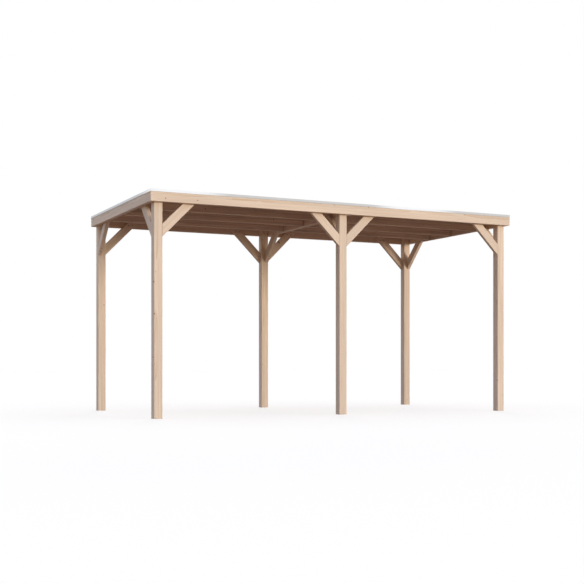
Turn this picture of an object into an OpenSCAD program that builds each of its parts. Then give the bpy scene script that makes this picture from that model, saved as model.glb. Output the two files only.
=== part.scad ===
// Garden pavilion: an open timber frame on six posts under a flat rubber-covered roof.
// Millimetres, +Z up. The origin is on the ground under the centre of the roof.
// X runs along the pavilion, Y runs from the front to the back.

/* [Overall size] */
// Length over the outer faces of the posts
frame_length = 4530; // [3600:10:6000]
// Depth over the outer faces of the posts
frame_depth = 2310; // [2100:10:3000]
// Height from the ground to the top of the roof trim
roof_height = 2430; // [2100:10:2900]

/* [Posts] */
// Width of a side of the square posts
post_w = 95; // [70:1:110]
// Chamfer along the long edges of the posts
post_chamfer = 4; // [1:0.5:8]

/* [Edge beams] */
// Thickness of the beams round the outside of the posts
edge_beam_t = 50; // [36:1:70]
// Height of the edge beams
edge_beam_h = 116; // [100:1:160]
// Chamfer along the long edges of the beams, the purlins and the braces
timber_chamfer = 3; // [1:0.5:6]

/* [Purlins and cross beam] */
// Thickness of the purlins
purlin_t = 36; // [28:1:60]
// Height of the purlins and the cross beam
purlin_h = 96; // [70:1:98]
// Thickness of the cross beam on the middle posts
cross_beam_t = 70; // [45:1:100]
// Sideways step from the left bay's purlins to the right bay's, so that their ends don't meet
purlin_stagger = 36; // [0:1:80]
// Gap at each end of a purlin, round the tongue that meets the beam
purlin_gap = 6; // [2:1:12]
// Thickness of the tongue
purlin_tongue = 20; // [12:1:26]

/* [Braces] */
// Thickness of a brace
brace_t = 45; // [34:1:60]
// Width of a brace, across its length
brace_w = 95; // [60:1:110]
// Drop of a brace's foot below the underside of the edge beam
brace_drop = 364; // [250:1:400]
// Lap of a brace's head up the inner face of its beam
brace_lap = 70; // [40:1:70]
// Least gap between a brace's head and the purlin beside it
brace_gap = 10; // [4:1:30]

/* [Roof covering] */
// Thickness of the rubber membrane
membrane_t = 2; // [1:0.5:4]
// Wall thickness of the aluminium trim
trim_wall = 2; // [1.5:0.5:3]
// Height of the trim from its drip lip to its bead
trim_face_h = 30; // [26:1:45]
// Rise of the trim above the membrane
trim_rise = 14; // [10:1:20]
// Width of the trim's flange on the membrane
trim_flange = 60; // [30:1:90]
// Diameter of the round bead along the top of the trim
trim_bead_d = 7; // [5:0.5:9]
// Reach of the drip lip beyond the trim's face
trim_lip = 3; // [2:0.5:6]

/* [Hidden] */
// The outer faces of the posts and of the edge beams and the roof's edge, from the centre
frame_x = frame_length / 2;
frame_y = frame_depth / 2;
beam_x = frame_x + edge_beam_t;
beam_y = frame_y + edge_beam_t;
roof_x = beam_x + trim_wall + trim_lip;
roof_y = beam_y + trim_wall + trim_lip;
post_half = post_w / 2;
post_x = frame_x - post_half;
post_y = frame_y - post_half;

// Levels, from the top down
membrane_top = roof_height - trim_rise;
beam_top = membrane_top - membrane_t;
beam_base = beam_top - edge_beam_h;
purlin_top = beam_base + purlin_h;
deck_t = beam_top - purlin_top;
trim_base = roof_height - trim_face_h;

// The two faces of the cross beam on the middle posts, and the spacing of the purlins
cross_left = post_half;
cross_right = cross_left + cross_beam_t;
purlin_pitch = frame_y / 2;
tongue_h = purlin_h + purlin_tongue - purlin_t;

// A brace leans at half a right angle, so its plumb cut is longer than its width.
// Its head stops short of the purlin beside it.
brace_lean = 45;
brace_cut = brace_w / sin(brace_lean);
brace_foot = beam_base - brace_drop;
brace_room = purlin_pitch - post_w - purlin_t / 2 - brace_gap;
brace_rise = min(brace_drop + brace_lap, brace_room);
brace_length = brace_rise / sin(brace_lean) + 2 * brace_w;

// Faces of the posts that the braces leave, and the near faces of the braces
inner_x = frame_x - post_w;
inner_y = frame_y - post_w;
row_front = -frame_y;
row_back = frame_y - brace_t;
end_left = -frame_x;
end_right = frame_x - brace_t;
middle_right = post_half - brace_t;

// How far a cutting shape runs past what it cuts
spare = 1;

wood_front = "#dcc4ad";
wood_deck = "#c9ab8c";
rubber_black = "#2b2c2d";
metal_pale = "#d8dadc";

// Sections

// A planed timber's section, w across and h high about its centre, with chamfered edges
module timber_section(w, h, edge) {
    side = w / 2;
    top = h / 2;
    polygon([
        [edge - side, -top], [side - edge, -top], [side, edge - top], [side, top - edge],
        [side - edge, top], [edge - side, top], [-side, top - edge], [-side, edge - top],
    ]);
}

// The trim's section, from the roof's outer edge inwards: a face that kicks out to a drip lip
// at its foot, a round bead along its top and a flange on the membrane
module trim_section() {
    face_back = trim_lip + trim_wall;
    lip_foot = trim_wall * sqrt(2);
    bead_centre = roof_height - trim_bead_d / 2;
    polygon([
        [0, trim_base],
        [lip_foot, trim_base],
        [face_back, trim_base + face_back - lip_foot],
        [face_back, bead_centre],
        [trim_lip, bead_centre],
        [trim_lip, trim_base + trim_lip],
    ]);
    translate([trim_lip + trim_bead_d / 2, bead_centre])
        circle(d = trim_bead_d, $fn = 48);
    translate([trim_lip, membrane_top])
        square([trim_flange, trim_wall]);
}

// Shapes that repeat

// A post on the ground at x, y
module post(x, y) {
    color(wood_front)
        translate([x, y, 0])
            linear_extrude(height = purlin_top)
                timber_section(post_w, post_w, post_chamfer);
}

// A bar of the section given as child, along the front of a rectangle. Its outer edge is at
// -reach in Y, half is half its outer length, and it is mitred over its depth at both ends.
module mitred_bar(half, reach, depth) {
    intersection() {
        translate([-half, -reach, 0])
            rotate([90, 0, 90])
                linear_extrude(height = 2 * half)
                    children();
        translate([0, -reach, 0])
            linear_extrude(height = roof_height + spare)
                polygon([
                    [-half - spare, -spare],
                    [half + spare, -spare],
                    [half - depth - spare, depth + spare],
                    [depth + spare - half, depth + spare],
                ]);
    }
}

// An edge beam, drawn along the front
module edge_beam(half, reach) {
    color(wood_front)
        mitred_bar(half, reach, edge_beam_t)
            translate([edge_beam_t / 2, beam_base + edge_beam_h / 2])
                timber_section(edge_beam_t, edge_beam_h, timber_chamfer);
}

// A roof trim, drawn along the front
module trim(half, reach) {
    color(metal_pale)
        mitred_bar(half, reach, trim_lip + trim_flange)
            trim_section();
}

// A purlin on edge, centred on y, whose tongues meet the beams at x_from and x_to
module purlin(x_from, x_to, y) {
    clear = x_to - x_from;
    color(wood_front)
        translate([x_from, y, beam_base + purlin_h / 2])
            rotate([90, 0, 90])
                union() {
                    translate([0, 0, purlin_gap])
                        linear_extrude(height = clear - 2 * purlin_gap)
                            timber_section(purlin_t, purlin_h, timber_chamfer);
                    linear_extrude(height = clear)
                        square([purlin_tongue, tongue_h], center = true);
                }
}

// A brace that rises along +X from its foot at the origin: a leaning timber with a plumb cut
// where it meets the post and a level cut at its head. It is brace_t thick in +Y.
module brace() {
    color(wood_front)
        intersection() {
            translate([0, brace_t / 2, brace_cut / 2])
                rotate([0, brace_lean, 0])
                    translate([0, 0, -brace_w])
                        linear_extrude(height = brace_length)
                            timber_section(brace_w, brace_t, timber_chamfer);
            translate([0, -spare, -spare])
                cube([brace_rise + spare, brace_t + 2 * spare, brace_rise + spare]);
        }
}

// A brace that leaves the face x of a post along X, with its near face at y
module brace_along(x, y, way) {
    translate([x, y, brace_foot])
        mirror([way < 0 ? 1 : 0, 0, 0])
            brace();
}

// A brace that leaves the face y of a post along Y, with its left face at x
module brace_across(x, y, way) {
    translate([x + brace_t, y, brace_foot])
        mirror([0, way < 0 ? 1 : 0, 0])
            rotate([0, 0, 90])
                brace();
}

// Posts

module post_front_left() { post(-post_x, -post_y); }
module post_front_middle() { post(0, -post_y); }
module post_front_right() { post(post_x, -post_y); }
module post_back_left() { post(-post_x, post_y); }
module post_back_middle() { post(0, post_y); }
module post_back_right() { post(post_x, post_y); }

// Braces, flush with the outer faces of the posts

module brace_front_left_along() { brace_along(-inner_x, row_front, 1); }
module brace_front_left_across() { brace_across(end_left, -inner_y, 1); }
module brace_front_middle_left() { brace_along(-post_half, row_front, -1); }
module brace_front_middle_right() { brace_along(post_half, row_front, 1); }
module brace_front_middle_across() { brace_across(middle_right, -inner_y, 1); }
module brace_front_right_along() { brace_along(inner_x, row_front, -1); }
module brace_front_right_across() { brace_across(end_right, -inner_y, 1); }
module brace_back_left_along() { brace_along(-inner_x, row_back, 1); }
module brace_back_left_across() { brace_across(end_left, inner_y, -1); }
module brace_back_middle_left() { brace_along(-post_half, row_back, -1); }
module brace_back_middle_right() { brace_along(post_half, row_back, 1); }
module brace_back_middle_across() { brace_across(middle_right, inner_y, -1); }
module brace_back_right_along() { brace_along(inner_x, row_back, -1); }
module brace_back_right_across() { brace_across(end_right, inner_y, -1); }

// Beams and purlins

module edge_beam_front() { edge_beam(beam_x, beam_y); }
module edge_beam_back() { rotate([0, 0, 180]) edge_beam(beam_x, beam_y); }
module edge_beam_left() { rotate([0, 0, -90]) edge_beam(beam_y, beam_x); }
module edge_beam_right() { rotate([0, 0, 90]) edge_beam(beam_y, beam_x); }

module cross_beam() {
    color(wood_front)
        translate([cross_left + cross_beam_t / 2, frame_y, beam_base + purlin_h / 2])
            rotate([90, 0, 0])
                linear_extrude(height = 2 * frame_y)
                    timber_section(cross_beam_t, purlin_h, timber_chamfer);
}

module purlin_left_front() { purlin(-frame_x, cross_left, -purlin_pitch); }
module purlin_left_middle() { purlin(-frame_x, cross_left, 0); }
module purlin_left_back() { purlin(-frame_x, cross_left, purlin_pitch); }
module purlin_right_front() { purlin(cross_right, frame_x, purlin_stagger - purlin_pitch); }
module purlin_right_middle() { purlin(cross_right, frame_x, purlin_stagger); }
module purlin_right_back() { purlin(cross_right, frame_x, purlin_pitch - purlin_stagger); }

// Roof covering

module roof_deck() {
    color(wood_deck)
        translate([-frame_x, -frame_y, purlin_top])
            cube([2 * frame_x, 2 * frame_y, deck_t]);
}

module roof_membrane() {
    color(rubber_black)
        translate([-beam_x, -beam_y, beam_top])
            cube([2 * beam_x, 2 * beam_y, membrane_t]);
}

module trim_front() { trim(roof_x, roof_y); }
module trim_back() { rotate([0, 0, 180]) trim(roof_x, roof_y); }
module trim_left() { rotate([0, 0, -90]) trim(roof_y, roof_x); }
module trim_right() { rotate([0, 0, 90]) trim(roof_y, roof_x); }

post_front_left();
post_front_middle();
post_front_right();
post_back_left();
post_back_middle();
post_back_right();
brace_front_left_along();
brace_front_left_across();
brace_front_middle_left();
brace_front_middle_right();
brace_front_middle_across();
brace_front_right_along();
brace_front_right_across();
brace_back_left_along();
brace_back_left_across();
brace_back_middle_left();
brace_back_middle_right();
brace_back_middle_across();
brace_back_right_along();
brace_back_right_across();
edge_beam_front();
edge_beam_back();
edge_beam_left();
edge_beam_right();
cross_beam();
purlin_left_front();
purlin_left_middle();
purlin_left_back();
purlin_right_front();
purlin_right_middle();
purlin_right_back();
roof_deck();
roof_membrane();
trim_front();
trim_back();
trim_left();
trim_right();
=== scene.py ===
"""Garden pavilion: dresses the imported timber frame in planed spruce, rubber and aluminium.

The file is laid out as an add-on: property groups hold the sizes and colours, one operator
finishes each group of pieces, and a panel in the 3D view's sidebar lists them. Lengths are
metres in the frame's own axes: X along the pavilion, Y from front to back, Z up.
"""

import math

import bpy
import numpy as np
from bpy.props import FloatProperty, FloatVectorProperty, IntProperty, PointerProperty
from mathutils import Euler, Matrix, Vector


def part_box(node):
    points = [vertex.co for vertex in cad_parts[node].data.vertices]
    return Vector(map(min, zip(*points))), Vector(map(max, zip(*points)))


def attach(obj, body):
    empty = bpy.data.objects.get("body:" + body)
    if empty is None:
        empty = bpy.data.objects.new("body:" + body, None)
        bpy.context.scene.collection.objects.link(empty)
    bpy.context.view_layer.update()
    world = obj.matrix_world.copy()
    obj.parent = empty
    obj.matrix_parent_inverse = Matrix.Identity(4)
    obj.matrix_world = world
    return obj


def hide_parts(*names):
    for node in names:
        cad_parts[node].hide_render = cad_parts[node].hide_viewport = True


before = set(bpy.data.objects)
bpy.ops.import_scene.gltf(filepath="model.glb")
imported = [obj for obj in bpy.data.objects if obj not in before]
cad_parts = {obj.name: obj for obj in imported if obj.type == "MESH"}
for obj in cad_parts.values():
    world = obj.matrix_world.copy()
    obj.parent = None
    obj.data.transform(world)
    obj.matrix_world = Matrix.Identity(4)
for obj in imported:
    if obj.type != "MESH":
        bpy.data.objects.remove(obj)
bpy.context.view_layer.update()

bl_info = {
    "name": "Garden pavilion",
    "version": (1, 0, 0),
    "blender": (4, 5, 0),
    "location": "3D View > Sidebar > Pavilion",
    "description": "Finishes an open timber pavilion with a flat roof",
    "category": "Object",
}

MM = 0.001
ROOT = "root"
QUARTER = math.pi / 2
EIGHTH = math.pi / 4
TIMBER_SEED = 11
BOARD_SEED = 23

POSTS = [name for name in sorted(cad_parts) if name.startswith("post_")]
BRACES = [name for name in sorted(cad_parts) if name.startswith("brace_")]
PURLINS = [name for name in sorted(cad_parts) if name.startswith("purlin_")]
TRIMS = [name for name in sorted(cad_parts) if name.startswith("trim_")]
LONG_BEAMS = ["edge_beam_front", "edge_beam_back"]
SHORT_BEAMS = ["edge_beam_left", "edge_beam_right", "cross_beam"]

# Noise in the spruce, in cycles a metre along and across the grain
PITH_WAVES = (1.1, 8.0, 8.0)
RING_WAVES = (1.6, 45.0, 45.0)
FIBRE_WAVES = (5.0, 330.0, 330.0)
CLOUD_WAVES = (0.9, 10.0, 10.0)
STREAK_WAVES = (1.0, 52.0, 52.0)
# How far that noise moves the pith and the rings
PITH_SWAY = 16 * MM
RING_SWAY = 4 * MM
# Girth of a branch as a share of its distance from the pith, least and most
BRANCH_GIRTH = (0.035, 0.09)
# Strength of the streaks in each grade of timber
FRAME_STREAKS = 0.42
PURLIN_STREAKS = 1.2
BOARD_STREAKS = 0.7
# Painted shade in the gap round a purlin's tongue, over its darker end grain: where it starts and
# is full, from the end, and its tone
END_SHADE_START = 7 * MM
END_SHADE_FULL = 6.2 * MM
END_SHADE_TONE = 0.25
# Tones of the roof boards, darkest and palest
BOARD_TONES = (0.92, 1.05)

# The rubber sheet's grid and fold marks, and the edge that the trim presses flat
SHEET_STEP = 45 * MM
MARK_WIDTH = 7 * MM
PRESSED_EDGE = 75 * MM
EASED_EDGE = 80 * MM
# Dust on the sheet: the mean width of its clouds, and its colour
DUST_WIDTH = 0.35
DUST_COLOUR = "#908a7e"

# Painted reflections on the trims, pale bands by place: radians a metre along each axis, and the
# phase at the middle
LONG_REFLECTIONS = ((2.13, 0.0, 0.0), -2.02)
END_REFLECTIONS = ((0.0, 1.3, 0.0), 2.3)
REFLECTION_COLOUR = "#fbfcfd"
TRIM_FLANGE = 2 * MM

# Places of the screws: in from the roof's edge, up a brace's underside, and down and along its head
TRIM_SEAT = 40 * MM
UNDERSIDE_SEATS = np.array([45, 80]) * MM
HEAD_DROP = 35 * MM
HEAD_SEATS = np.array([40, 95]) * MM
# The darker parts of the screws' coat
COAT_SHADE = "#5f4f3a"
# Outline of a screw head, as shares of its radius and height, and its number of sides
HEAD_OUTLINE = np.array([(1.0, -0.5), (1.0, 0.35), (0.82, 0.8), (0.42, 1.0), (0.36, 0.45)])
HEAD_SIDES = 10

# Where the light from the front gives way to the rest, and the horizon to the sky, as parts of the
# way's Y and Z
FRONT_EDGE = (-0.6, 0.2)
HORIZON_EDGE = (0.05, 0.2)
SENSOR_WIDTH = 36.0
CLIP_END = 500.0


# Colours, nodes and meshes

def linear(hex_colour):
    """An sRGB hex colour as linear red, green and blue."""
    share = np.array([int(hex_colour[i:i + 2], 16) for i in (1, 3, 5)]) / 255
    curved = ((share + 0.055) / 1.055) ** 2.4
    return tuple(np.where(share <= 0.04045, share / 12.92, curved).tolist())


def opaque(colour):
    """A colour property as the four numbers that a colour socket takes."""
    return (*colour, 1.0)


def add(tree, kind, sockets=(), **settings):
    """Adds a node with its settings, then fills its sockets, by name or in order.

    A node or an output socket is linked, None is left alone, and anything else is set as the value.
    """
    node = tree.nodes.new(kind if kind.startswith("Node") else "ShaderNode" + kind)
    for name, value in settings.items():
        setattr(node, name, value)
    if not isinstance(sockets, dict):
        sockets = dict(enumerate(sockets))
    shown = [socket for socket in node.inputs if socket.enabled]
    for key, value in sockets.items():
        socket = shown[key] if isinstance(key, int) else node.inputs[key]
        if isinstance(value, bpy.types.Node):
            value = next(output for output in value.outputs if output.enabled)
        if isinstance(value, bpy.types.NodeSocket):
            tree.links.new(value, socket)
        elif value is not None:
            socket.default_value = value
    return node


def new_material(name):
    """An empty node material, and its tree."""
    material = bpy.data.materials.new(name)
    material.use_nodes = True
    material.node_tree.nodes.clear()
    return material, material.node_tree


def coat(name, material):
    """Gives a CAD node's object a material through its slots."""
    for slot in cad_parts[name].material_slots:
        slot.material = material


def new_piece(name, points, faces, material, replaced=()):
    """A mesh piece from an array of points and a list of faces, riding on the frame."""
    mesh = bpy.data.meshes.new(name)
    mesh.from_pydata(points.reshape(-1, 3), [], faces)
    mesh.validate()
    mesh.update()
    piece = bpy.data.objects.new(name, mesh)
    bpy.context.scene.collection.objects.link(piece)
    mesh.materials.append(material)
    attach(piece, ROOT)
    if replaced:
        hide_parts(*replaced)
    return piece


def skin_faces(copies, stations, around):
    """Faces of closed skins over points[copy, station, around].

    Neighbouring rings are joined by quads, and each skin is closed by a face over its first ring,
    which looks back along the skin, and one over its last ring, which looks ahead.
    """
    index = np.arange(copies * stations * around).reshape(copies, stations, around)
    turned = np.roll(index, -1, axis=2)
    quads = np.stack([index[:, :-1], turned[:, :-1], turned[:, 1:], index[:, 1:]], axis=-1)
    ends = [*index[:, 0, ::-1].tolist(), *index[:, -1].tolist()]
    return quads.reshape(-1, 4).tolist() + ends


# Spruce

def spruce_figure(look):
    """Node group: the solid figure of planed spruce round a pith that lies on the grain's X axis.

    Growth rings count the distance from the pith, made uneven by noise. Branches are cones that
    leave the pith: each is a cell over length and angle, and its distance is metric on the ring,
    so it is cut to a round knot on a flat face and the rings swell round it.
    """
    tree = bpy.data.node_groups.new("spruce_figure", "ShaderNodeTree")
    tree.interface.new_socket("Grain", in_out="INPUT", socket_type="NodeSocketVector")
    tree.interface.new_socket("Tone", in_out="INPUT", socket_type="NodeSocketFloat")
    tree.interface.new_socket("Streaks", in_out="INPUT", socket_type="NodeSocketFloat")
    tree.interface.new_socket("Color", in_out="OUTPUT", socket_type="NodeSocketColor")
    tree.interface.new_socket("Roughness", in_out="OUTPUT", socket_type="NodeSocketFloat")
    tree.interface.new_socket("Height", in_out="OUTPUT", socket_type="NodeSocketFloat")
    given = add(tree, "NodeGroupInput")
    grain = given.outputs["Grain"]

    # The pith wanders over about a metre of length.
    slow = add(tree, "VectorMath", (grain, PITH_WAVES), operation="MULTIPLY")
    wander = add(tree, "TexNoise", {"Vector": slow, "Scale": 1.0, "Detail": 1.0})
    sway = (0.0, PITH_SWAY, PITH_SWAY)
    bent = add(tree, "VectorMath", (wander.outputs["Color"], sway, grain), operation="MULTIPLY_ADD")
    place = add(tree, "SeparateXYZ", (bent,))
    across = add(tree, "VectorMath", (bent, (0.0, 1.0, 1.0)), operation="MULTIPLY")
    radius = add(tree, "VectorMath", (across,), operation="LENGTH")
    angle = add(tree, "Math", (place.outputs["Z"], place.outputs["Y"]), operation="ARCTAN2")

    # Branches
    pitch, turn = look.knot_spacing, look.knot_turn
    unrolled = add(tree, "CombineXYZ", (place.outputs["X"], angle, 0.0))
    cells = add(tree, "VectorMath", (unrolled, (pitch, turn, 1.0)), operation="DIVIDE")
    branch = add(
        tree, "TexVoronoi", {"Vector": cells, "Scale": 1.0, "Randomness": 0.9},
        voronoi_dimensions="2D", feature="F1",
    )
    away = add(tree, "VectorMath", (cells, branch.outputs["Position"]), operation="SUBTRACT")
    arc = add(tree, "Math", (radius, turn), operation="MULTIPLY")
    metric = add(tree, "CombineXYZ", (pitch * 0.8, arc, 0.0))
    away_metric = add(tree, "VectorMath", (away, metric), operation="MULTIPLY")
    distance = add(tree, "VectorMath", (away_metric,), operation="LENGTH")
    chance = add(tree, "SeparateColor", (branch.outputs["Color"],))
    share = add(tree, "MapRange", (chance.outputs["Red"], 0.0, 1.0, *BRANCH_GIRTH))
    cone = add(tree, "Math", (radius, share), operation="MULTIPLY")
    bare = 1.0 - look.knot_share
    grown = add(tree, "Math", (chance.outputs["Green"], bare), operation="GREATER_THAN")
    girth = add(tree, "Math", (cone, grown, 0.1 * MM), operation="MULTIPLY_ADD")
    reach = add(tree, "Math", (distance, girth), operation="DIVIDE")
    knot = add(tree, "MapRange", (reach, 1.15, 0.8, 0.0, 1.0), interpolation_type="SMOOTHSTEP")
    swell = add(tree, "MapRange", (reach, 5.0, 0.5, 0.0, 1.0), interpolation_type="SMOOTHSTEP")

    # Growth rings: pale early wood that deepens to a sharp line of late wood
    swollen = add(tree, "Math", (swell, girth, radius), operation="MULTIPLY_ADD")
    lively = add(tree, "VectorMath", (grain, RING_WAVES), operation="MULTIPLY")
    uneven = add(tree, "TexNoise", {"Vector": lively, "Scale": 1.0, "Detail": 2.0})
    counted = add(tree, "Math", (uneven, RING_SWAY, swollen), operation="MULTIPLY_ADD")
    rings = add(tree, "Math", (counted, look.ring_width), operation="DIVIDE")
    season = add(tree, "Math", (rings,), operation="FRACT")
    late = add(tree, "Math", (season, 2.5), operation="POWER")

    # Fibres, drawn 3 mm wide and 200 mm long because real ones are too fine to show
    thread = add(tree, "VectorMath", (grain, FIBRE_WAVES), operation="MULTIPLY")
    fibre = add(tree, "TexNoise", {"Vector": thread, "Scale": 1.0, "Detail": 2.0})
    cloud = add(tree, "VectorMath", (grain, CLOUD_WAVES), operation="MULTIPLY")
    broad = add(tree, "TexNoise", {"Vector": cloud, "Scale": 1.0, "Detail": 1.0})

    # Streaks of darker and paler wood, about 20 mm wide and a metre long
    drawn = add(tree, "VectorMath", (grain, STREAK_WAVES), operation="MULTIPLY")
    streak = add(tree, "TexNoise", {"Vector": drawn, "Scale": 1.0, "Detail": 3.0, "Roughness": 0.6})

    threads = add(tree, "MapRange", (fibre, 0.25, 0.75, 0.0, 0.3))
    depth = add(tree, "Math", (late, 0.6, threads), operation="MULTIPLY_ADD")
    early_wood, late_wood = opaque(look.early_wood), opaque(look.late_wood)
    wood = add(tree, "Mix", (depth, early_wood, late_wood), data_type="RGBA")
    level = add(tree, "MapRange", (broad, 0.25, 0.75, 0.94, 1.06))
    even = add(tree, "Math", (streak, 0.5), operation="SUBTRACT")
    banded = add(tree, "Math", (even, given.outputs["Streaks"], 1.0), operation="MULTIPLY_ADD")
    both = add(tree, "Math", (level, banded), operation="MULTIPLY")
    light = add(tree, "Math", (both, given.outputs["Tone"]), operation="MULTIPLY")
    toned = add(tree, "VectorMath", {0: wood, "Scale": light}, operation="SCALE")
    core = add(tree, "Math", (knot, 0.75), operation="MULTIPLY")
    knotty = add(tree, "Mix", (core, toned, opaque(look.knot_wood)), data_type="RGBA")
    rough = add(tree, "MapRange", (late, 0.0, 1.0, 0.78, 0.66))
    height = add(tree, "Math", (late, 0.5, threads), operation="MULTIPLY_ADD")
    add(tree, "NodeGroupOutput", {"Color": knotty, "Roughness": rough, "Height": height})
    return tree


def spruce_surface(tree, grain, tone, streaks):
    """Planed spruce on a material's tree: pale, matt, with fine ring and fibre relief."""
    look = bpy.context.scene.pavilion_timber
    figure = bpy.data.node_groups.get("spruce_figure") or spruce_figure(look)
    wood = add(tree, "Group", {"Grain": grain, "Tone": tone, "Streaks": streaks}, node_tree=figure)
    relief = {"Strength": 0.5, "Distance": 0.4 * MM, "Height": wood.outputs["Height"]}
    bump = add(tree, "Bump", relief)
    surface = add(tree, "BsdfPrincipled", {
        "Base Color": wood.outputs["Color"], "Roughness": wood.outputs["Roughness"], "Normal": bump,
        "IOR": 1.45, "Specular IOR Level": 0.12,
    })
    add(tree, "OutputMaterial", {"Surface": surface})


def end_shade_and_grain(tree, place, low, high, tone):
    """Tone of a timber along X, darker at its ends: painted gap shade and darker end grain."""
    # Painted shade: the tone falls to a quarter over the tongue and the gap at each end.
    along = add(tree, "SeparateXYZ", (place,)).outputs["X"]
    away = add(tree, "Math", (along, -(low.x + high.x) / 2), operation="ADD")
    distance = add(tree, "Math", (away,), operation="ABSOLUTE")
    half = (high.x - low.x) / 2
    start, full = half - END_SHADE_START, half - END_SHADE_FULL
    return add(tree, "MapRange", (distance, start, full, tone, END_SHADE_TONE * tone))


def coat_timber(name, turn, streaks=FRAME_STREAKS, shaded_ends=False):
    """Planed spruce on one timber, with its grain along the direction that turn carries to X.

    Each timber is sawn from its own place in the log, so its pith line lies at its own offset.
    The purlins are a plainer grade, with stronger streaks, and their ends darken: painted shade for
    the gap there, and darker end grain.
    """
    chance = np.random.default_rng([TIMBER_SEED, *name.encode()])
    low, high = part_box(name)
    middle = Euler(turn).to_matrix() @ ((low + high) / 2)
    bearing = chance.uniform(0, 2 * math.pi)
    offset = chance.uniform(25, 80) * MM
    origin = (
        chance.uniform(0, 40),
        offset * math.cos(bearing) - middle.y,
        offset * math.sin(bearing) - middle.z,
    )
    material, tree = new_material("planed_spruce_" + name)
    place = add(tree, "TexCoord").outputs["Object"]
    grain = add(tree, "Mapping", {"Vector": place, "Location": origin, "Rotation": turn})
    spread = bpy.context.scene.pavilion_timber.tone_spread
    tone = chance.uniform(1 - spread, 1 + spread)
    # The last few millimetres of a purlin get painted shade for the gap round its tongue, over
    # darker end grain.
    if shaded_ends:
        tone = end_shade_and_grain(tree, place, low, high, tone)
    spruce_surface(tree, grain, tone, streaks)
    coat(name, material)


def brace_lean(name):
    """Whether a brace runs across the pavilion, and the sign of its lean away from its post."""
    if name.endswith("_across"):
        return True, 1 if "_front_" in name else -1
    return False, -1 if name.endswith(("_middle_left", "_right_along")) else 1


def brace_turn(name):
    """The turn that carries a brace's own lean to X."""
    across, lean = brace_lean(name)
    return (-lean * EIGHTH, 0.0, -QUARTER) if across else (0.0, lean * EIGHTH, 0.0)


# Settings

class PavilionTimber(bpy.types.PropertyGroup):
    """Colours and figure of the spruce."""

    early_wood: FloatVectorProperty(
        name="Early wood", description="Pale wood between the ring lines",
        subtype="COLOR", min=0, max=1, default=linear("#e6d2bc"))
    late_wood: FloatVectorProperty(
        name="Late wood", description="Darker wood of the ring lines",
        subtype="COLOR", min=0, max=1, default=linear("#cdac88"))
    knot_wood: FloatVectorProperty(
        name="Knots", description="Wood of the knots",
        subtype="COLOR", min=0, max=1, default=linear("#8a6244"))
    ring_width: FloatProperty(
        name="Ring width", description="Mean width of a growth ring",
        unit="LENGTH", default=4.5 * MM)
    knot_spacing: FloatProperty(
        name="Knot spacing", description="Mean length of timber between branch places",
        unit="LENGTH", default=340 * MM)
    knot_turn: FloatProperty(
        name="Knot turn", description="Mean angle round the pith between branch places",
        subtype="ANGLE", default=math.pi / 3)
    knot_share: FloatProperty(
        name="Knot share", description="Share of the branch places that hold a knot",
        subtype="FACTOR", min=0, max=1, default=0.36)
    tone_spread: FloatProperty(
        name="Tone spread", description="How far one timber may be lighter or darker than the next",
        subtype="FACTOR", min=0, max=0.3, default=0.03)


class PavilionRoof(bpy.types.PropertyGroup):
    """Sizes and colours of the roof boards, the rubber sheet, the trim and the screws."""

    boards: IntProperty(
        name="Boards", description="Number of boards along the roof", min=1, default=39)
    board_gap: FloatProperty(
        name="Board gap", description="Open joint between two boards",
        unit="LENGTH", default=0.6 * MM)
    board_chamfer: FloatProperty(
        name="Board chamfer", description="Chamfer that makes the grooves on the underside",
        unit="LENGTH", default=4 * MM)
    rubber: FloatVectorProperty(
        name="Rubber", description="Colour of the roof sheet",
        subtype="COLOR", min=0, max=1, default=linear("#322f2b"))
    fold_length: FloatProperty(
        name="Fold length", description="Spacing of the fold marks along the roof",
        unit="LENGTH", default=760 * MM)
    fold_depth: FloatProperty(
        name="Fold depth", description="Spacing of the fold marks across the roof",
        unit="LENGTH", default=600 * MM)
    fold_height: FloatProperty(
        name="Fold height", description="Height of a fold mark", unit="LENGTH", default=1.8 * MM)
    metal: FloatVectorProperty(
        name="Long trims", description="Colour of the anodised trims at the front and back",
        subtype="COLOR", min=0, max=1, default=linear("#d4d2d0"))
    # The end trims are a shade darker than the long ones: painted shade, for the dimmer light on
    # the ends.
    shaded_end_metal: FloatVectorProperty(
        name="End trims", description="Colour of the anodised trims at the two ends",
        subtype="COLOR", min=0, max=1, default=linear("#bdbfc1"))
    steel: FloatVectorProperty(
        name="Screws", description="Colour of the screws",
        subtype="COLOR", min=0, max=1, default=linear("#7a6549"))
    trim_screw_spacing: FloatProperty(
        name="Trim screw spacing", description="Spacing of the screws along the trim",
        unit="LENGTH", default=300 * MM)
    trim_screw_size: FloatProperty(
        name="Trim screw size", description="Width of the heads on the trim",
        unit="LENGTH", default=9 * MM)
    brace_screw_size: FloatProperty(
        name="Brace screw size", description="Width of the heads on the braces",
        unit="LENGTH", default=12 * MM)


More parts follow.
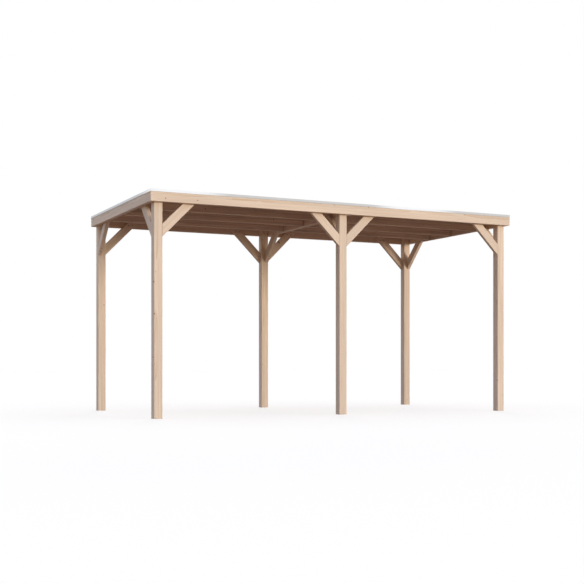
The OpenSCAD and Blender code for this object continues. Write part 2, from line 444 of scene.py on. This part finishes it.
class PavilionStage(bpy.types.PropertyGroup):
    """Camera, light and floor."""

    eye: FloatVectorProperty(
        name="Eye", description="Place of the camera", subtype="TRANSLATION", unit="LENGTH",
        default=(-5.791, -11.987, 0.585))
    heading: FloatProperty(
        name="Heading", description="Turn of the level camera from +Y towards +X",
        subtype="ANGLE", default=math.radians(26.088))
    lens: FloatProperty(
        name="Lens", description="Focal length in millimetres on a sensor 36 mm wide",
        default=65.80)
    shift: FloatVectorProperty(
        name="Shift", description="Shift of the picture across the lens, as a share of its width",
        size=2, default=(-0.0223, 0.1227))
    key_colour: FloatVectorProperty(
        name="Key colour", description="Colour of the broad light from the front",
        subtype="COLOR", min=0, max=1, default=linear("#fff6e8"))
    key_level: FloatProperty(
        name="Key level",
        description="Light that the key throws on a face turned to it, white being 1",
        default=0.745)
    key_height: FloatProperty(
        name="Key height", description="Angle of the key above the horizon",
        subtype="ANGLE", default=math.radians(7.5))
    key_side: FloatProperty(
        name="Key side", description="Angle of the key to the right of the front",
        subtype="ANGLE", default=math.radians(36))
    lamp_size: FloatProperty(
        name="Lamp size", description="Angle across the key and the fill as the pavilion sees them",
        subtype="ANGLE", default=math.radians(20))
    fill_colour: FloatVectorProperty(
        name="Fill colour", description="Colour of the weaker light from behind",
        subtype="COLOR", min=0, max=1, default=linear("#ffeedd"))
    fill_level: FloatProperty(
        name="Fill level",
        description="Light that the fill throws on a face turned to it, white being 1",
        default=0.42)
    fill_height: FloatProperty(
        name="Fill height", description="Angle of the fill above the horizon",
        subtype="ANGLE", default=math.radians(14))
    fill_side: FloatProperty(
        name="Fill side", description="Angle of the fill to the right of the front",
        subtype="ANGLE", default=math.radians(155))
    sky_colour: FloatVectorProperty(
        name="Sky colour", description="Colour of the light from all round",
        subtype="COLOR", min=0, max=1, default=linear("#ccddfb"))
    horizon_colour: FloatVectorProperty(
        name="Horizon colour", description="Colour of that light near the horizon",
        subtype="COLOR", min=0, max=1, default=linear("#e6ddcb"))
    sky_level: FloatProperty(
        name="Sky level", description="Strength of the light from all round", default=1.24)
    front_level: FloatProperty(
        name="Front level",
        description="Strength of that light from the front, where the key stands",
        default=1.034)
    floor_colour: FloatVectorProperty(
        name="Floor colour", description="Colour of the floor as the underside of the roof sees it",
        subtype="COLOR", min=0, max=1, default=linear("#7c655a"))
    floor_shade: FloatVectorProperty(
        name="Floor shade",
        description="Colour of the share of the floor's white that takes the shadow",
        subtype="COLOR", min=0, max=1, default=linear("#b0a699"))
    floor_glow: FloatProperty(
        name="Floor glow", description="Share of the floor's white that no shadow reaches",
        subtype="FACTOR", min=0, max=1, default=0.62)
    floor_size: FloatProperty(
        name="Floor size", description="Side of the square floor", unit="LENGTH", default=120.0)


# Timber operators

class FinishPosts(bpy.types.Operator):
    """Gives each post its own piece of upright spruce"""

    bl_idname = "pavilion.finish_posts"
    bl_label = "Posts"

    def execute(self, context):
        for name in POSTS:
            coat_timber(name, (0.0, QUARTER, 0.0))
        return {"FINISHED"}


class FinishBraces(bpy.types.Operator):
    """Gives each knee brace spruce whose grain follows its lean"""

    bl_idname = "pavilion.finish_braces"
    bl_label = "Braces"

    def execute(self, context):
        for name in BRACES:
            coat_timber(name, brace_turn(name))
        return {"FINISHED"}


class FinishBeams(bpy.types.Operator):
    """Gives the edge beams, the cross beam and the purlins spruce along their length"""

    bl_idname = "pavilion.finish_beams"
    bl_label = "Beams and purlins"

    def execute(self, context):
        for name in LONG_BEAMS:
            coat_timber(name, (0.0, 0.0, 0.0))
        for name in PURLINS:
            coat_timber(name, (0.0, 0.0, 0.0), streaks=PURLIN_STREAKS, shaded_ends=True)
        for name in SHORT_BEAMS:
            coat_timber(name, (0.0, 0.0, -QUARTER))
        return {"FINISHED"}


# Roof operators

def board_points(low, high, count, gap, chamfer):
    """Boards side by side along X, each a section carried from the front to the back.

    The section is a rectangle whose two lower corners are cut off, so that neighbours meet in a
    groove. Returns points[board, end, corner].
    """
    pitch = (high.x - low.x) / count
    left, right = gap / 2, pitch - gap / 2
    section = np.array([
        (left, low.z + chamfer), (left + chamfer, low.z), (right - chamfer, low.z),
        (right, low.z + chamfer), (right, high.z), (left, high.z),
    ])
    starts = low.x + pitch * np.arange(count)
    points = np.empty((count, 2, len(section), 3))
    points[..., 0] = starts[:, None, None] + section[:, 0]
    points[..., 1] = np.array([high.y, low.y])[None, :, None]
    points[..., 2] = section[:, 1]
    return points


class LayRoofBoards(bpy.types.Operator):
    """Lays grooved spruce boards across the purlins in place of the plain deck"""

    bl_idname = "pavilion.lay_roof_boards"
    bl_label = "Roof boards"

    def execute(self, context):
        roof = context.scene.pavilion_roof
        low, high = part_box("roof_deck")
        points = board_points(low, high, roof.boards, roof.board_gap, roof.board_chamfer)
        material, tree = new_material("planed_spruce_roof_boards")
        grain = add(tree, "Attribute", attribute_name="grain")
        tone = add(tree, "Attribute", attribute_name="tone")
        spruce_surface(tree, grain.outputs["Vector"], tone.outputs["Fac"], BOARD_STREAKS)
        faces = skin_faces(*points.shape[:3])
        piece = new_piece("roof_boards", points, faces, material, ["roof_deck"])

        chance = np.random.default_rng(BOARD_SEED)
        origins = np.stack([
            chance.uniform(0, 40, roof.boards),
            chance.uniform(-60, 60, roof.boards) * MM - points[:, 0, :, 0].mean(axis=1),
            chance.uniform(20, 70, roof.boards) * MM - (low.z + high.z) / 2,
        ], axis=-1)
        along = points[..., [1, 0, 2]] + origins[:, None, None, :]
        board_tones = chance.uniform(*BOARD_TONES, roof.boards)
        tones = np.broadcast_to(board_tones[:, None, None], points.shape[:3])
        attributes = piece.data.attributes
        attributes.new("grain", "FLOAT_VECTOR", "POINT").data.foreach_set("vector", along.ravel())
        attributes.new("tone", "FLOAT", "POINT").data.foreach_set("value", tones.ravel())
        return {"FINISHED"}


def sheet_lines(start, end, marks, step, spread):
    """Grid lines along one side of the sheet: even steps, with closer lines on each fold mark."""
    even = np.linspace(start, end, 1 + round((end - start) / step))
    near = (marks[:, None] + spread * np.array([-1.0, -0.5, 0.0, 0.5, 1.0])).ravel()
    clear = np.abs(even[:, None] - near).min(axis=1) > spread
    return np.sort(np.concatenate([even[clear | (even == start) | (even == end)], near]))


def sheet_points(low, high, roof):
    """The rubber sheet as heights over a grid of length and depth.

    Each fold mark is a ridge of Gaussian section, h exp(-(d / w)^2) of the distance d from it, and
    the cloth between the marks is slightly full, as sin^2 of the share of a fold. Both die out
    towards the edge, where the trim presses the sheet flat. Returns the points, and the share of a
    fold mark at each.
    """
    half_x, half_y, width = high.x, high.y, MARK_WIDTH
    marks_x = np.arange(-2.5, 3.0) * roof.fold_length
    marks_y = np.arange(-1.0, 2.0) * roof.fold_depth
    xs = sheet_lines(-half_x, half_x, marks_x, SHEET_STEP, 2 * width)
    ys = sheet_lines(-half_y, half_y, marks_y, SHEET_STEP, 2 * width)
    x, y = np.meshgrid(xs, ys, indexing="ij")
    ridge_x = np.exp(-((x[..., None] - marks_x) / width) ** 2).sum(axis=-1)
    ridge_y = np.exp(-((y[..., None] - marks_y) / width) ** 2).sum(axis=-1)
    wane = 0.65 + 0.35 * np.sin(2.3 * x + 1.0) * np.cos(3.1 * y)
    full_x = np.sin(math.pi * (x / roof.fold_length + 0.5)) ** 2
    full_y = np.sin(math.pi * y / roof.fold_depth) ** 2
    edge = np.minimum(half_x - np.abs(x), half_y - np.abs(y))
    free = np.clip((edge - PRESSED_EDGE) / EASED_EDGE, 0, 1)
    crease = wane * np.maximum(ridge_x, ridge_y) * free
    height = roof.fold_height * (crease + 0.7 * full_x * full_y * free)
    return np.stack([x, y, high.z + height], axis=-1), crease


def rubber_sheet():
    """EPDM rubber, calendered: near black, matt, with a fine skin, dust and paler fold marks."""
    roof = bpy.context.scene.pavilion_roof
    material, tree = new_material("epdm_rubber")
    place = add(tree, "TexCoord").outputs["Object"]
    clouds = {"Vector": place, "Scale": 1 / DUST_WIDTH, "Detail": 6.0, "Roughness": 0.6}
    dust = add(tree, "TexNoise", clouds)
    film = add(tree, "MapRange", (dust, 0.4, 0.75, 0.0, 0.16))
    crease = add(tree, "Attribute", attribute_name="crease").outputs["Fac"]
    worn = add(tree, "Math", (crease, 0.14, film), operation="MULTIPLY_ADD")
    rubber, pale = opaque(roof.rubber), opaque(linear(DUST_COLOUR))
    colour = add(tree, "Mix", (worn, rubber, pale), data_type="RGBA")
    rough = add(tree, "MapRange", (dust, 0.3, 0.7, 0.62, 0.8))
    # A skin of 1 mm dimples, drawn 4 mm wide so that it shows.
    skin = add(tree, "TexNoise", {"Vector": place, "Scale": 1 / (4 * MM), "Detail": 1.0})
    bump = add(tree, "Bump", {"Strength": 0.25, "Distance": 0.3 * MM, "Height": skin})
    surface = add(tree, "BsdfPrincipled", {
        "Base Color": colour, "Roughness": rough, "Normal": bump,
        "IOR": 1.52, "Specular IOR Level": 0.35,
    })
    add(tree, "OutputMaterial", {"Surface": surface})
    return material


class LayRubberSheet(bpy.types.Operator):
    """Lays one rubber sheet with its fold marks in place of the plain membrane"""

    bl_idname = "pavilion.lay_rubber_sheet"
    bl_label = "Rubber sheet"

    def execute(self, context):
        low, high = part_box("roof_membrane")
        points, crease = sheet_points(low, high, context.scene.pavilion_roof)
        rows, columns = points.shape[:2]
        index = np.arange(rows * columns).reshape(rows, columns)
        quads = np.stack([index[:-1, :-1], index[1:, :-1], index[1:, 1:], index[:-1, 1:]], axis=-1)
        faces = quads.reshape(-1, 4).tolist()
        rubber = rubber_sheet()
        piece = new_piece("rubber_sheet", points, faces, rubber, ["roof_membrane"])
        marks = piece.data.attributes.new("crease", "FLOAT", "POINT")
        marks.data.foreach_set("value", crease.ravel())
        piece.data.shade_smooth()
        wall = piece.modifiers.new("wall", "SOLIDIFY")
        wall.thickness = high.z - low.z
        wall.offset = -1.0
        return {"FINISHED"}


def anodised_aluminium(name, metal, way, start):
    """Satin anodised aluminium, extruded: a pale soft mirror with faint lengthwise die lines.

    Slow bands of paler metal are painted reflections: the cosine of the place along way, from
    start.
    """
    material, tree = new_material("anodised_aluminium_" + name)
    place = add(tree, "TexCoord").outputs["Object"]
    along = add(tree, "VectorMath", (place, way), operation="DOT_PRODUCT")
    phase = add(tree, "Math", (along, start), operation="ADD")
    # Painted reflections: the metal turns paler in bands along the trim.
    reflection_wave = add(tree, "Math", (phase,), operation="COSINE")
    shade = add(tree, "MapRange", (reflection_wave, 0.25, 0.95, 0.0, 1.0), interpolation_type="SMOOTHSTEP")
    colour = add(tree, "Mix", (shade, opaque(metal), opaque(linear(REFLECTION_COLOUR))), data_type="RGBA")
    # Die lines of 0.5 mm, drawn 3 mm wide in Z, where the trim's face shows them.
    drawn = add(tree, "VectorMath", (place, (0.5, 0.5, 1 / (3 * MM))), operation="MULTIPLY")
    lines = add(tree, "TexNoise", {"Vector": drawn, "Scale": 1.0, "Detail": 1.0})
    rough = add(tree, "MapRange", (lines, 0.3, 0.7, 0.3, 0.42))
    bump = add(tree, "Bump", {"Strength": 0.1, "Distance": 0.1 * MM, "Height": lines})
    surface = add(tree, "BsdfPrincipled", {
        "Base Color": colour, "Metallic": 1.0, "Roughness": rough, "Normal": bump,
    })
    add(tree, "OutputMaterial", {"Surface": surface})
    return material


class FinishTrim(bpy.types.Operator):
    """Gives the four roof trims anodised aluminium"""

    bl_idname = "pavilion.finish_trim"
    bl_label = "Roof trim"

    def execute(self, context):
        roof = context.scene.pavilion_roof
        long_metal = anodised_aluminium("long", roof.metal, *LONG_REFLECTIONS)
        # The end trims' darker colour is painted shade.
        shaded_end_metal = anodised_aluminium("end", roof.shaded_end_metal, *END_REFLECTIONS)
        for name in TRIMS:
            coat(name, shaded_end_metal if name.endswith(("_left", "_right")) else long_metal)
        return {"FINISHED"}


# Screws

def screw_heads(seats, ways, size):
    """Pan heads: one outline turned round each screw's own way out of the surface.

    The outline goes up the rim, over a rounded crown and down into a round socket. A point is the
    seat + r (cos t side + sin t up) + h way, for the angle t round the head, with side, up and way
    at right angles. Returns points[screw, station, around].
    """
    radius, height = size / 2, size / 5
    turns = np.linspace(0, 2 * math.pi, HEAD_SIDES, endpoint=False)
    ways = ways / np.linalg.norm(ways, axis=-1, keepdims=True)
    level = np.where(np.abs(ways[:, 2:]) > 0.9, (1.0, 0.0, 0.0), (0.0, 0.0, 1.0))
    side = np.cross(level, ways)
    side /= np.linalg.norm(side, axis=-1, keepdims=True)
    up = np.cross(ways, side)
    ring = np.cos(turns)[:, None] * side[:, None] + np.sin(turns)[:, None] * up[:, None]
    out = radius * HEAD_OUTLINE[:, 0, None, None] * ring[:, None]
    rise = height * HEAD_OUTLINE[:, 1, None, None] * ways[:, None, None]
    return seats[:, None, None] + out + rise


def trim_screws(spacing):
    """Seats and ways of the screws along the middle of the trims' flanges."""
    low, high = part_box("trim_front")
    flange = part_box("roof_membrane")[1].z + TRIM_FLANGE
    in_x, in_y = high.x - TRIM_SEAT, -low.y - TRIM_SEAT
    long_way = np.linspace(-in_x, in_x, 1 + round(2 * in_x / spacing))
    short_way = np.linspace(-in_y, in_y, 1 + round(2 * in_y / spacing))[1:-1]
    rows = [(x, y, flange) for y in (-in_y, in_y) for x in long_way]
    rows += [(x, y, flange) for x in (-in_x, in_x) for y in short_way]
    seats = np.array(rows)
    return seats, np.broadcast_to((0.0, 0.0, 1.0), seats.shape)


def brace_screws(name):
    """Seats and ways of one brace's screws: two in its sloping underside, two in its head.

    The underside rises at half a right angle from the toe on the post. The screws in the head go
    through the face that looks into the pavilion.
    """
    low, high = (np.array(corner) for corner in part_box(name))
    across, lean = brace_lean(name)
    along, aside = (1, 0) if across else (0, 1)
    inward = 1 if ("_left_" if across else "_front_") in name else -1
    toe = low[along] if lean > 0 else high[along]
    seats, ways = np.zeros((4, 3)), np.zeros((4, 3))
    seats[:2, along], seats[:2, 2] = toe + lean * UNDERSIDE_SEATS, low[2] + UNDERSIDE_SEATS
    seats[:2, aside] = (low[aside] + high[aside]) / 2
    ways[:2, along], ways[:2, 2] = lean, -1.0
    head = high[2] - HEAD_DROP
    reach = head - low[2] - HEAD_SEATS
    seats[2:, along], seats[2:, 2] = toe + lean * reach, head
    seats[2:, aside] = high[aside] if inward > 0 else low[aside]
    ways[2:, aside] = inward
    return seats, ways


def coated_steel():
    """Steel with a bronze coat, pressed: a dull brown mirror with a slightly mottled coat."""
    material, tree = new_material("bronze_coated_steel")
    place = add(tree, "TexCoord").outputs["Object"]
    mottle = add(tree, "TexNoise", {"Vector": place, "Scale": 1 / (3 * MM), "Detail": 2.0})
    steel = bpy.context.scene.pavilion_roof.steel
    colour = add(tree, "Mix", (mottle, opaque(steel), opaque(linear(COAT_SHADE))), data_type="RGBA")
    rough = add(tree, "MapRange", (mottle, 0.3, 0.7, 0.34, 0.5))
    surface = add(tree, "BsdfPrincipled", {
        "Base Color": colour, "Metallic": 1.0, "Roughness": rough,
    })
    add(tree, "OutputMaterial", {"Surface": surface})
    return material


class DriveScrews(bpy.types.Operator):
    """Drives the screws of the roof trim and of the knee braces"""

    bl_idname = "pavilion.drive_screws"
    bl_label = "Screws"

    def execute(self, context):
        roof = context.scene.pavilion_roof
        steel = coated_steel()
        braces = [brace_screws(name) for name in BRACES]
        brace_seats, brace_ways = (np.concatenate(rows) for rows in zip(*braces))
        for name, size, seats, ways in (
            ("trim_screws", roof.trim_screw_size, *trim_screws(roof.trim_screw_spacing)),
            ("brace_screws", roof.brace_screw_size, brace_seats, brace_ways),
        ):
            points = screw_heads(seats, ways, size)
            new_piece(name, points, skin_faces(*points.shape[:3]), steel)
        return {"FINISHED"}


# Stage

def seen_directly(tree):
    """Light Path nodes: 1 for what the eye, a mirror or glass sees, and 0 for other light."""
    path = add(tree, "LightPath")
    rays = ("Camera", "Glossy", "Transmission")
    eye, mirror, glass = (path.outputs[f"Is {ray} Ray"] for ray in rays)
    mirrored = add(tree, "Math", (eye, mirror), operation="MAXIMUM")
    return add(tree, "Math", (mirrored, glass), operation="MAXIMUM")


def studio_floor(stage):
    """Matt pale floor: white to the eye with the object's soft shadow, darker to other light."""
    material, tree = new_material("studio_floor")
    dim = add(tree, "BsdfDiffuse", {"Color": opaque(stage.floor_colour)})
    shaded = add(tree, "BsdfDiffuse", {"Color": opaque(stage.floor_shade)})
    glow = add(tree, "Emission", {"Strength": stage.floor_glow})
    white = add(tree, "AddShader", (shaded, glow))
    top = add(tree, "MixShader", (seen_directly(tree), dim, white))
    behind = add(tree, "NewGeometry").outputs["Backfacing"]
    clear = add(tree, "BsdfTransparent")
    surface = add(tree, "MixShader", (behind, top, clear))
    add(tree, "OutputMaterial", {"Surface": surface})
    return material


class SetStage(bpy.types.Operator):
    """Sets the floor, the light from all round, the two lamps and the camera"""

    bl_idname = "pavilion.set_stage"
    bl_label = "Stage"

    def execute(self, context):
        scene, stage = context.scene, context.scene.pavilion_stage
        scene.view_settings.view_transform = "Standard"
        self.lay_floor(scene, stage)
        self.light_sky(scene, stage)
        self.hang_lamp(scene, stage, "key")
        self.hang_lamp(scene, stage, "fill")
        self.place_camera(scene, stage)
        return {"FINISHED"}

    def lay_floor(self, scene, stage):
        half = stage.floor_size / 2
        corners = np.array([(-half, -half, 0), (half, -half, 0), (half, half, 0), (-half, half, 0)])
        mesh = bpy.data.meshes.new("floor")
        mesh.from_pydata(corners, [], [(0, 1, 2, 3)])
        mesh.materials.append(studio_floor(stage))
        floor = bpy.data.objects.new("floor", mesh)
        scene.collection.objects.link(floor)

    def light_sky(self, scene, stage):
        scene.world = bpy.data.worlds.new("studio_sky")
        scene.world.use_nodes = True
        tree = scene.world.node_tree
        tree.nodes.clear()
        white = add(tree, "Background", {"Color": (1, 1, 1, 1), "Strength": 1.0})
        way = add(tree, "SeparateXYZ", (add(tree, "TexCoord").outputs["Generated"],))
        level = add(
            tree, "MapRange", (way.outputs["Y"], *FRONT_EDGE, stage.front_level, stage.sky_level),
            interpolation_type="SMOOTHSTEP",
        )
        high = add(
            tree, "MapRange", (way.outputs["Z"], *HORIZON_EDGE, 0.0, 1.0),
            interpolation_type="SMOOTHSTEP",
        )
        horizon, sky = opaque(stage.horizon_colour), opaque(stage.sky_colour)
        tint = add(tree, "Mix", (high, horizon, sky), data_type="RGBA")
        light = add(tree, "Background", {"Color": tint, "Strength": level})
        both = add(tree, "MixShader", (seen_directly(tree), light, white))
        add(tree, "OutputWorld", {"Surface": both})

    def hang_lamp(self, scene, stage, name):
        lamp = bpy.data.lights.new(name, "SUN")
        lamp.color = getattr(stage, name + "_colour")
        lamp.energy = getattr(stage, name + "_level") * math.pi
        lamp.angle = stage.lamp_size
        holder = bpy.data.objects.new(name, lamp)
        turn = getattr(stage, name + "_side")
        holder.rotation_euler = (QUARTER - getattr(stage, name + "_height"), 0.0, turn)
        holder.visible_glossy = False
        scene.collection.objects.link(holder)

    def place_camera(self, scene, stage):
        lens = bpy.data.cameras.new("camera")
        lens.sensor_width = SENSOR_WIDTH
        lens.lens = stage.lens
        lens.shift_x, lens.shift_y = stage.shift
        lens.clip_end = CLIP_END
        camera = bpy.data.objects.new("camera", lens)
        camera.location = stage.eye
        camera.rotation_euler = (QUARTER, 0.0, -stage.heading)
        scene.collection.objects.link(camera)
        scene.camera = camera


# Panel and registration

STEPS = [
    FinishPosts, FinishBraces, FinishBeams, LayRoofBoards, LayRubberSheet, FinishTrim, DriveScrews,
    SetStage,
]
SETTINGS = {
    "pavilion_timber": PavilionTimber,
    "pavilion_roof": PavilionRoof,
    "pavilion_stage": PavilionStage,
}


class PavilionPanel(bpy.types.Panel):
    """Settings and steps of the pavilion"""

    bl_idname = "VIEW3D_PT_pavilion"
    bl_label = "Garden pavilion"
    bl_space_type = "VIEW_3D"
    bl_region_type = "UI"
    bl_category = "Pavilion"

    def draw(self, context):
        for step in STEPS:
            self.layout.operator(step.bl_idname)
        for name, group in SETTINGS.items():
            box = self.layout.box()
            for setting in group.__annotations__:
                box.prop(getattr(context.scene, name), setting)


CLASSES = [*SETTINGS.values(), *STEPS, PavilionPanel]


def register():
    for cls in CLASSES:
        bpy.utils.register_class(cls)
    for name, group in SETTINGS.items():
        setattr(bpy.types.Scene, name, PointerProperty(type=group))


def unregister():
    for name in SETTINGS:
        delattr(bpy.types.Scene, name)
    for cls in reversed(CLASSES):
        bpy.utils.unregister_class(cls)


def main():
    register()
    for step in STEPS:
        getattr(bpy.ops.pavilion, step.bl_idname.split(".")[1])()


if __name__ == "__main__":
    main()
